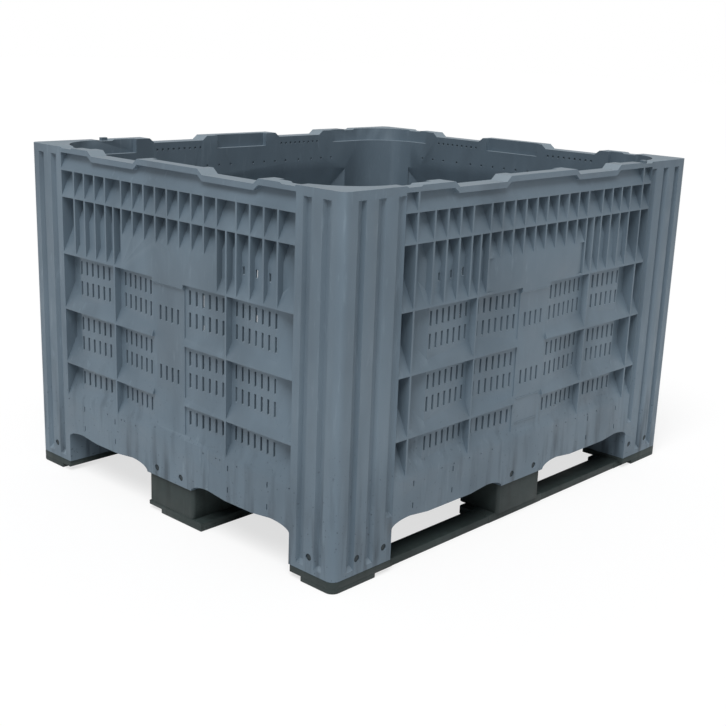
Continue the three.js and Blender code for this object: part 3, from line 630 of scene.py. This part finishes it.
def inner_dots(wall):
    """Small drain holes in the band inside the rim."""
    start, end = wall["notch"]
    ribs = wall["upper_ribs"]
    places = [(s, UPPER_DRAINS) for s in slot_places(start + DRAIN_MARGIN, end - DRAIN_MARGIN, DRAINS_PER_NOTCH)]
    places += [((low + high) / 2, LOWER_DRAINS) for low, high in zip(ribs, ribs[1:])]
    return [rod(sign * s, z, DRAIN_RADIUS, WALL_DEPTH - DRAIN_DEPTH, WALL_DEPTH + OVERCUT, SMALL_ROUND_STEPS)
            for s, z in places for sign in (1, -1)]


def bar_ends(wall):
    """Slanted ends of the T shaped panel, down to the ribs beside it."""
    near, far = wall["bar_half"], wall["bar_rib"] - RIB_WIDTH / 2
    plan = [(near, 0), (near, -OVERCUT), (far, -OVERCUT), (far, STEM_RECESS)]
    return [prism([(sign * s, d) for s, d in plan], BAR_END_BOTTOM, BAR_END_TOP) for sign in (1, -1)]


def stem_plate():
    """Two thin raised lines on the foot of the stem."""
    return [block((-PLATE_LINE_HALF, STEM_RECESS - PLATE_LINE_RISE, z),
                  (PLATE_LINE_HALF, STEM_RECESS + 1, z + PLATE_LINE_WIDTH)) for z in PLATE_LINES]


def both(make):
    """What make gives for a wall, on all four walls."""
    return [part for wall in WALLS for part in to_walls(wall, make(wall))]


def pin_holes(wall):
    return [rod(s, z, PIN_HOLE_RADIUS, -OVERCUT, deep + OVERCUT) for s, z, deep in pin_places(wall)]


def rim_panels():
    """Shallow panels inside the rim, at the middle of each wall and round the corners."""
    low, high = HEIGHT - LEDGE_HEIGHT, HEIGHT + RIM_CLEAR
    side = WALL_DEPTH - LEDGE_STEP
    panels = both(lambda wall: [block((-LEDGE_HALF, side, low), (LEDGE_HALF, WALL_DEPTH + OVERCUT, high))])
    centre = (ROOM_X - INNER_RADIUS, ROOM_Y - INNER_RADIUS)
    start_x, start_y = LONG_WALL["ledge_start"], SHORT_WALL["ledge_start"]
    band = [(ROOM_X + LEDGE_STEP, start_y)] + arc(centre, INNER_RADIUS + LEDGE_STEP, 0, 90)
    band += [(start_x, ROOM_Y + LEDGE_STEP), (start_x, ROOM_Y - OVERCUT)]
    band += arc(centre, INNER_RADIUS - OVERCUT, 90, 0) + [(ROOM_X - OVERCUT, start_y)]
    return panels + [prism(plan, low, high) for plan in four_ways(band)]


def deck_rooms():
    """Room under the deck, with seats for the runner blocks; each list is cut on its own."""
    inside_x, inside_y = LENGTH / 2 - SKIRT_WALL, WIDTH / 2 - SKIRT_WALL
    edge_x, edge_y = LONG_WALL["edge"], SHORT_WALL["edge"]
    centre_x, half_x = (edge_x + BLOCK_HALF_X) / 2, (edge_x - BLOCK_HALF_X) / 2
    centre_y, half_y = (edge_y + BLOCK_HALF_Y) / 2, (edge_y - BLOCK_HALF_Y) / 2
    return [
        [block((-edge_x, -inside_y, UNDER), (edge_x, inside_y, BLOCK_TOP))],
        [block((-inside_x, -edge_y, UNDER), (inside_x, edge_y, BLOCK_TOP))],
        [block((sign * centre_x - half_x, -inside_y, UNDER), (sign * centre_x + half_x, inside_y, DECK_BOTTOM))
         for sign in (1, -1)],
        [block((-inside_x, sign * centre_y - half_y, UNDER), (inside_x, sign * centre_y + half_y, DECK_BOTTOM))
         for sign in (1, -1)],
    ]


def pocket_spans(seat, edge, inside):
    """Spans of the deck pockets along one axis, between the thin ribs."""
    middle = (seat + edge) / 2
    half = [(seat, middle - RIB_WALL / 2), (middle + RIB_WALL / 2, edge), (edge + RIB_WALL, inside)]
    return [(-seat + RIB_WALL, seat - RIB_WALL)] + half + [(-b, -a) for a, b in half]


def deck_pockets():
    """Pockets of the deck and of the feet, open from below."""
    inside_x, inside_y = LENGTH / 2 - SKIRT_WALL, WIDTH / 2 - SKIRT_WALL
    foot_x, foot_y = LONG_WALL["edge"] + RIB_WALL, SHORT_WALL["edge"] + RIB_WALL
    top = FLOOR_TOP - FLOOR_THICKNESS
    pockets = []
    for x0, x1 in pocket_spans(BLOCK_HALF_X, LONG_WALL["edge"], inside_x):
        for y0, y1 in pocket_spans(BLOCK_HALF_Y, SHORT_WALL["edge"], inside_y):
            if max(abs(x0), abs(x1)) <= foot_x or max(abs(y0), abs(y1)) <= foot_y:
                pockets.append(block((x0, y0, UNDER), (x1, y1, top)))
    centre = (LENGTH / 2 - CORNER_RADIUS, WIDTH / 2 - CORNER_RADIUS)
    foot_plan = [(foot_x, foot_y), (LENGTH / 2 - POST_WALL, foot_y)]
    foot_plan += arc(centre, CORNER_RADIUS - POST_WALL, 0, 90, FOOT_CORNER_STEPS)
    foot_plan.append((foot_x, WIDTH / 2 - POST_WALL))
    return pockets + [prism(plan, UNDER, top) for plan in four_ways(foot_plan)]


def nubs():
    """Nubs that locate a stacked box, at two opposite corners."""
    bottom = HEIGHT - SHOULDER_DROP
    return [prism(plan, bottom - NUB_SINK, bottom + NUB_HEIGHT) for plan in four_ways(NUB_PLAN)[1:3]]


def build_body():
    """The one-piece box: cuts and additions, each made on the result of the one before."""
    body = mesh_object("box_shell", [prism(rounded_plan(LENGTH / 2, WIDTH / 2, CORNER_RADIUS), BODY_BOTTOM, HEIGHT)])
    carve(body, [prism(rounded_plan(ROOM_X, ROOM_Y, INNER_RADIUS), FLOOR_TOP, HEIGHT + RIM_CLEAR)])
    pockets = both(upper_row) + both(bar_row) + both(top_band)
    row_bottoms = [SKIRT_TOP, ROW_RIBS[0] + RIB_EDGE, ROW_RIBS[1] + RIB_EDGE]
    for bottom, top in zip(row_bottoms, ROW_RIBS):
        pockets += both(lambda wall: slotted_row(wall, bottom, top))
    carve(body, pockets)
    for make in (stem_recess, inner_recess, slots, rim_cut, flutes, arch, small_marks, inner_dots):
        carve(body, both(make))
    carve(body, to_walls(LONG_WALL, bar_ends(LONG_WALL)))
    carve(body, to_walls(LONG_WALL, stem_plate()), "UNION")
    carve(body, both(pin_holes))
    carve(body, rim_panels())
    for room in deck_rooms():
        carve(body, room)
    carve(body, deck_pockets())
    carve(body, nubs(), "UNION")
    finish_piece(body, BODY_BEVEL, 1)
    return body


def runner_block(half_x, half_y, x, y):
    plan = rounded_plan(half_x, half_y, BLOCK_RADIUS, BLOCK_STEPS, (x, y))
    return prism(plan, STRIP_TOP, BLOCK_TOP - FIT_GAP)


def runner_pad(half_y, y):
    plan = rounded_plan(MIDDLE_PAD_HALF, half_y, PAD_RADIUS, PAD_STEPS, (0, y))
    return prism(plan, 0, PAD_TOP)


def side_runner(name, side):
    """One runner under a long side: corner plates and pads, strip, middle block and pad."""
    half_x, half_y = LENGTH / 2, WIDTH / 2
    edge = LONG_WALL["edge"]
    near = half_y - STRIP_SETBACK
    neck = near + PAD_LEAD
    corner = arc((half_x - CORNER_RADIUS, half_y - CORNER_RADIUS), CORNER_RADIUS, 0, 90)
    plate = [(half_x, PLATE_INNER)] + corner + [(edge, half_y), (edge, PLATE_INNER)]
    pad = [(half_x, PAD_INNER)] + corner
    pad += [(TOE_END, half_y), (TOE_END, neck), (PAD_END, neck), (PAD_END, PAD_INNER)]
    parts = []
    for end in (1, -1):
        parts.append(prism([(end * x, side * y) for x, y in plate], PLATE_BOTTOM, PLATE_TOP))
        parts.append(prism([(end * x, side * y) for x, y in pad], 0, PLATE_BOTTOM + OVERCUT))
    strip = sorted((side * near, side * (near - STRIP_WIDTH)))
    parts.append(block((-SIDE_STRIP_HALF, strip[0], 0), (SIDE_STRIP_HALF, strip[1], STRIP_TOP)))
    pad_far = PAD_INNER - PAD_SHORTER
    parts.append(runner_pad((neck - pad_far) / 2, side * (neck + pad_far) / 2))
    block_far = half_y - BLOCK_SETBACK
    parts.append(runner_block(BLOCK_HALF_X, (block_far - BLOCK_INNER) / 2, 0, side * (BLOCK_INNER + block_far) / 2))
    runner = mesh_object(name, parts)
    finish_piece(runner, RUNNER_BEVEL)
    return runner


def middle_runner(name):
    """The runner under the middle: its end pads reach further on one side, and are notched on the other."""
    outer, inner = LENGTH / 2 - BLOCK_SETBACK, LONG_WALL["edge"]
    parts = [block((-MIDDLE_STRIP_HALF, -STRIP_WIDTH / 2, 0), (MIDDLE_STRIP_HALF, STRIP_WIDTH / 2, STRIP_TOP)),
             runner_block(BLOCK_HALF_X, BLOCK_HALF_Y, 0, 0), runner_pad(MIDDLE_PAD_HALF, 0)]
    tip, side = outer + PAD_LEAD, BLOCK_HALF_Y + PAD_LEAD
    notch = tip - TOE_NOTCH
    high_plan = [(PAD_END, -MIDDLE_PAD_HALF), (tip, -MIDDLE_PAD_HALF), (tip, side), (PAD_END, side)]
    low_plan = high_plan[:2] + [(tip, TOE_NOTCH_START), (notch, TOE_NOTCH_START), (notch, side), (PAD_END, side)]
    for turn in (1, -1):
        parts.append(runner_block((outer - inner) / 2, BLOCK_HALF_Y, turn * (outer + inner) / 2, 0))
        parts.append(prism([(turn * x, -turn * y) for x, y in low_plan], 0, TOE_NOTCH_TOP + OVERCUT))
        parts.append(prism([(turn * x, -turn * y) for x, y in high_plan], TOE_NOTCH_TOP, PAD_TOP))
    runner = mesh_object(name, parts)
    finish_piece(runner, RUNNER_BEVEL)
    return runner


# Materials

def plastic(name, colour, light, dark, roughness, dirt, top_highlight=None):
    """Moulded plastic with uneven colour, streaks of dirt, pale scuffs and a duller worn finish, and a painted
    highlight on faces that look up when a top highlight colour is given.
    """
    material = bpy.data.materials.new(name)
    material.use_nodes = True
    nodes, links = material.node_tree.nodes, material.node_tree.links
    shader = nodes["Principled BSDF"]
    place = nodes.new("ShaderNodeTexCoord")

    def noise(scale, detail, stretch=(1, 1, 1), offset=0.0):
        mapping = nodes.new("ShaderNodeMapping")
        mapping.inputs["Scale"].default_value = stretch
        mapping.inputs["Location"].default_value = (offset, offset, offset)
        links.new(place.outputs["Object"], mapping.inputs["Vector"])
        texture = nodes.new("ShaderNodeTexNoise")
        texture.inputs["Scale"].default_value = scale
        texture.inputs["Detail"].default_value = detail
        links.new(mapping.outputs["Vector"], texture.inputs["Vector"])
        return texture.outputs["Fac"]

    def ranged(value, low, high, to_low=0.0, to_high=1.0):
        node = nodes.new("ShaderNodeMapRange")
        node.inputs["From Min"].default_value = low
        node.inputs["From Max"].default_value = high
        node.inputs["To Min"].default_value = to_low
        node.inputs["To Max"].default_value = to_high
        links.new(value, node.inputs["Value"])
        return node.outputs["Result"]

    def multiply(a, b):
        node = nodes.new("ShaderNodeMath")
        node.operation = "MULTIPLY"
        links.new(a, node.inputs[0])
        links.new(b, node.inputs[1])
        return node.outputs["Value"]

    def mix(under, over, share):
        node = nodes.new("ShaderNodeMix")
        node.data_type = "RGBA"
        for value, socket in ((under, node.inputs["A"]), (over, node.inputs["B"])):
            if isinstance(value, tuple):
                socket.default_value = (*value, 1)
            else:
                links.new(value, socket)
        links.new(share, node.inputs["Factor"])
        return node.outputs["Result"]

    split = nodes.new("ShaderNodeSeparateXYZ")
    links.new(place.outputs["Object"], split.inputs["Vector"])

    # Uneven colour, and a painted highlight on faces that look up
    base = mix(colour, light, ranged(noise(2.2, 3.0), 0.35, 0.7, 0.0, 0.55))
    base = mix(base, dark, ranged(noise(9.0, 5.0, (1, 1, 0.35), 4.0), 0.45, 0.8, 0.0, 0.45))
    # Painted highlight: faces that look up take the lighter top colour, more so higher up the box
    if top_highlight:
        surface = nodes.new("ShaderNodeNewGeometry")
        facing = nodes.new("ShaderNodeSeparateXYZ")
        links.new(surface.outputs["Normal"], facing.inputs["Vector"])
        top_highlight_share = ranged(facing.outputs["Z"], 0.25, 0.7)
        base = mix(base, top_highlight, multiply(top_highlight_share, ranged(split.outputs["Z"], 0.19, 0.73, 0.35, 0.85)))

    # Dirt in streaks near the foot, pale scratches in patches, and small specks
    streaks = multiply(ranged(noise(38.0, 6.0, (1, 1, 0.12), 2.0), 0.52, 0.7),
                       ranged(split.outputs["Z"], 0.30, 0.05, 0.0, dirt))
    base = mix(base, dark, streaks)
    scratches = multiply(ranged(noise(55.0, 8.0, (1.6, 1.6, 0.3), 7.0), 0.58, 0.72),
                         ranged(noise(3.5, 2.0, (1, 1, 1), 11.0), 0.45, 0.62, 0.0, 0.55))
    base = mix(base, light, scratches)
    specks = multiply(ranged(noise(150.0, 3.0, (1, 1, 1), 3.0), 0.66, 0.70),
                      ranged(split.outputs["Z"], 0.34, 0.12, 0.0, dirt))
    base = mix(base, dark, specks)

    links.new(base, shader.inputs["Base Color"])
    links.new(ranged(noise(14.0, 4.0, (1, 1, 1), 5.0), 0.3, 0.7, roughness - 0.07, roughness + 0.12),
              shader.inputs["Roughness"])
    shader.inputs["Specular IOR Level"].default_value = 0.35
    grain = nodes.new("ShaderNodeBump")
    grain.inputs["Strength"].default_value = 0.12
    grain.inputs["Distance"].default_value = 0.0006
    links.new(noise(420.0, 2.0, (1, 1, 1), 1.0), grain.inputs["Height"])
    links.new(grain.outputs["Normal"], shader.inputs["Normal"])
    return material


# The last colour of the grey plastic is its painted highlight for faces that look up
grey = plastic("grey_plastic", (0.098, 0.137, 0.173), (0.150, 0.200, 0.243), (0.043, 0.060, 0.077), 0.5, 0.95,
               (0.215, 0.262, 0.300))
dark = plastic("runner_plastic", (0.015, 0.023, 0.023), (0.050, 0.070, 0.067), (0.005, 0.008, 0.008), 0.6, 0.4)
pin_grey = plastic("pin_plastic", (0.011, 0.021, 0.027), (0.024, 0.036, 0.043), (0.005, 0.009, 0.011), 0.5, 0.2)


def dress(piece, material, slot_name, *stands_for):
    piece.data.materials.clear()
    piece.data.materials.append(material)
    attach(piece, "root")
    if stands_for:
        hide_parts(*stands_for)


dress(build_body(), grey, "box_grey", "box_body")
dress(side_runner("front_runner", -1), dark, "runner_dark", "runner_front")
dress(side_runner("back_runner", 1), dark, "runner_dark", "runner_back")
dress(middle_runner("centre_runner"), dark, "runner_dark", "runner_middle")

# Each wall's pins are one piece
PIN_WALLS = {"front": (LONG_WALL, 0), "back": (LONG_WALL, 1), "left": (SHORT_WALL, 0), "right": (SHORT_WALL, 1)}
for side, (wall, which) in PIN_WALLS.items():
    rods = [rod(s, z, PIN_RADIUS, PIN_SINK, PIN_SINK + PIN_LENGTH, PIN_STEPS) for s, z, _ in pin_places(wall)]
    own = to_walls(wall, rods)[which * len(rods):(which + 1) * len(rods)]
    pins = mesh_object("pins_" + side, own)
    finish_piece(pins, PIN_BEVEL)
    dress(pins, pin_grey, "pin_dark", *[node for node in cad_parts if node.startswith("pin_" + side)])

# Floor, light and camera, in metres
FLOOR_SIZE = 60
FLOOR_DROP = 0.0005
FLOOR_WHITE = 0.7
AMBIENT = 0.4
SUN_POWER = 2.75
SUN_SPREAD = 34
SUN_DIRECTION = (0.66, 0.40, -1.25)

bpy.ops.mesh.primitive_plane_add(size=FLOOR_SIZE, location=(0, 0, -FLOOR_DROP))
floor = bpy.context.object
floor.name = "floor"
floor_material = bpy.data.materials.new("floor")
floor_material.use_nodes = True
floor_nodes, floor_links = floor_material.node_tree.nodes, floor_material.node_tree.links
floor_shader = floor_nodes["Principled BSDF"]
floor_shader.inputs["Base Color"].default_value = (0.93, 0.93, 0.93, 1)
floor_shader.inputs["Roughness"].default_value = 0.9
glow = floor_nodes.new("ShaderNodeEmission")
floor_seen = floor_nodes.new("ShaderNodeLightPath")
glow_share = floor_nodes.new("ShaderNodeMath")
glow_share.operation = "MULTIPLY"
glow_share.inputs[1].default_value = FLOOR_WHITE
blend_floor = floor_nodes.new("ShaderNodeMixShader")
floor_links.new(floor_seen.outputs["Is Camera Ray"], glow_share.inputs[0])
floor_links.new(glow_share.outputs["Value"], blend_floor.inputs["Fac"])
floor_links.new(floor_shader.outputs["BSDF"], blend_floor.inputs[1])
floor_links.new(glow.outputs["Emission"], blend_floor.inputs[2])
floor_links.new(blend_floor.outputs["Shader"], floor_nodes["Material Output"].inputs["Surface"])
floor.data.materials.append(floor_material)

world = bpy.data.worlds.new("studio")
world.use_nodes = True
sky_nodes, sky_links = world.node_tree.nodes, world.node_tree.links
ambient = sky_nodes["Background"]
ambient.inputs["Color"].default_value = (1, 1, 1, 1)
ambient.inputs["Strength"].default_value = AMBIENT
backdrop = sky_nodes.new("ShaderNodeBackground")
backdrop.inputs["Color"].default_value = (1, 1, 1, 1)
seen = sky_nodes.new("ShaderNodeLightPath")
blend_sky = sky_nodes.new("ShaderNodeMixShader")
sky_links.new(seen.outputs["Is Camera Ray"], blend_sky.inputs["Fac"])
sky_links.new(ambient.outputs["Background"], blend_sky.inputs[1])
sky_links.new(backdrop.outputs["Background"], blend_sky.inputs[2])
sky_links.new(blend_sky.outputs["Shader"], sky_nodes["World Output"].inputs["Surface"])
bpy.context.scene.world = world

# A wide soft light from above the near corner, a little to the left
sun_data = bpy.data.lights.new("soft_light", "SUN")
sun_data.energy = SUN_POWER
sun_data.angle = math.radians(SUN_SPREAD)
sun = bpy.data.objects.new("soft_light", sun_data)
sun.rotation_euler = Vector(SUN_DIRECTION).to_track_quat("-Z", "Y").to_euler()
bpy.context.scene.collection.objects.link(sun)

CAMERA_PLACE = Vector((-2.0552, -1.9038, 1.0287))
CAMERA_FORWARD = Vector((0.7067, 0.6540, -0.2698)).normalized()
CAMERA_ROLL = math.radians(2.154)
CAMERA_LENS = 58.14

camera_data = bpy.data.cameras.new("camera")
camera_data.lens = CAMERA_LENS
camera_data.sensor_width = 36
camera = bpy.data.objects.new("camera", camera_data)
bpy.context.scene.collection.objects.link(camera)
level_right = CAMERA_FORWARD.cross(Vector((0, 0, 1))).normalized()
level_up = level_right.cross(CAMERA_FORWARD)
right = level_right * math.cos(CAMERA_ROLL) + level_up * math.sin(CAMERA_ROLL)
up = right.cross(CAMERA_FORWARD)
axes = Matrix((right, up, -CAMERA_FORWARD)).transposed()
camera.matrix_world = Matrix.Translation(CAMERA_PLACE) @ axes.to_4x4()
bpy.context.scene.camera = camera
bpy.context.scene.view_settings.view_transform = "Standard"
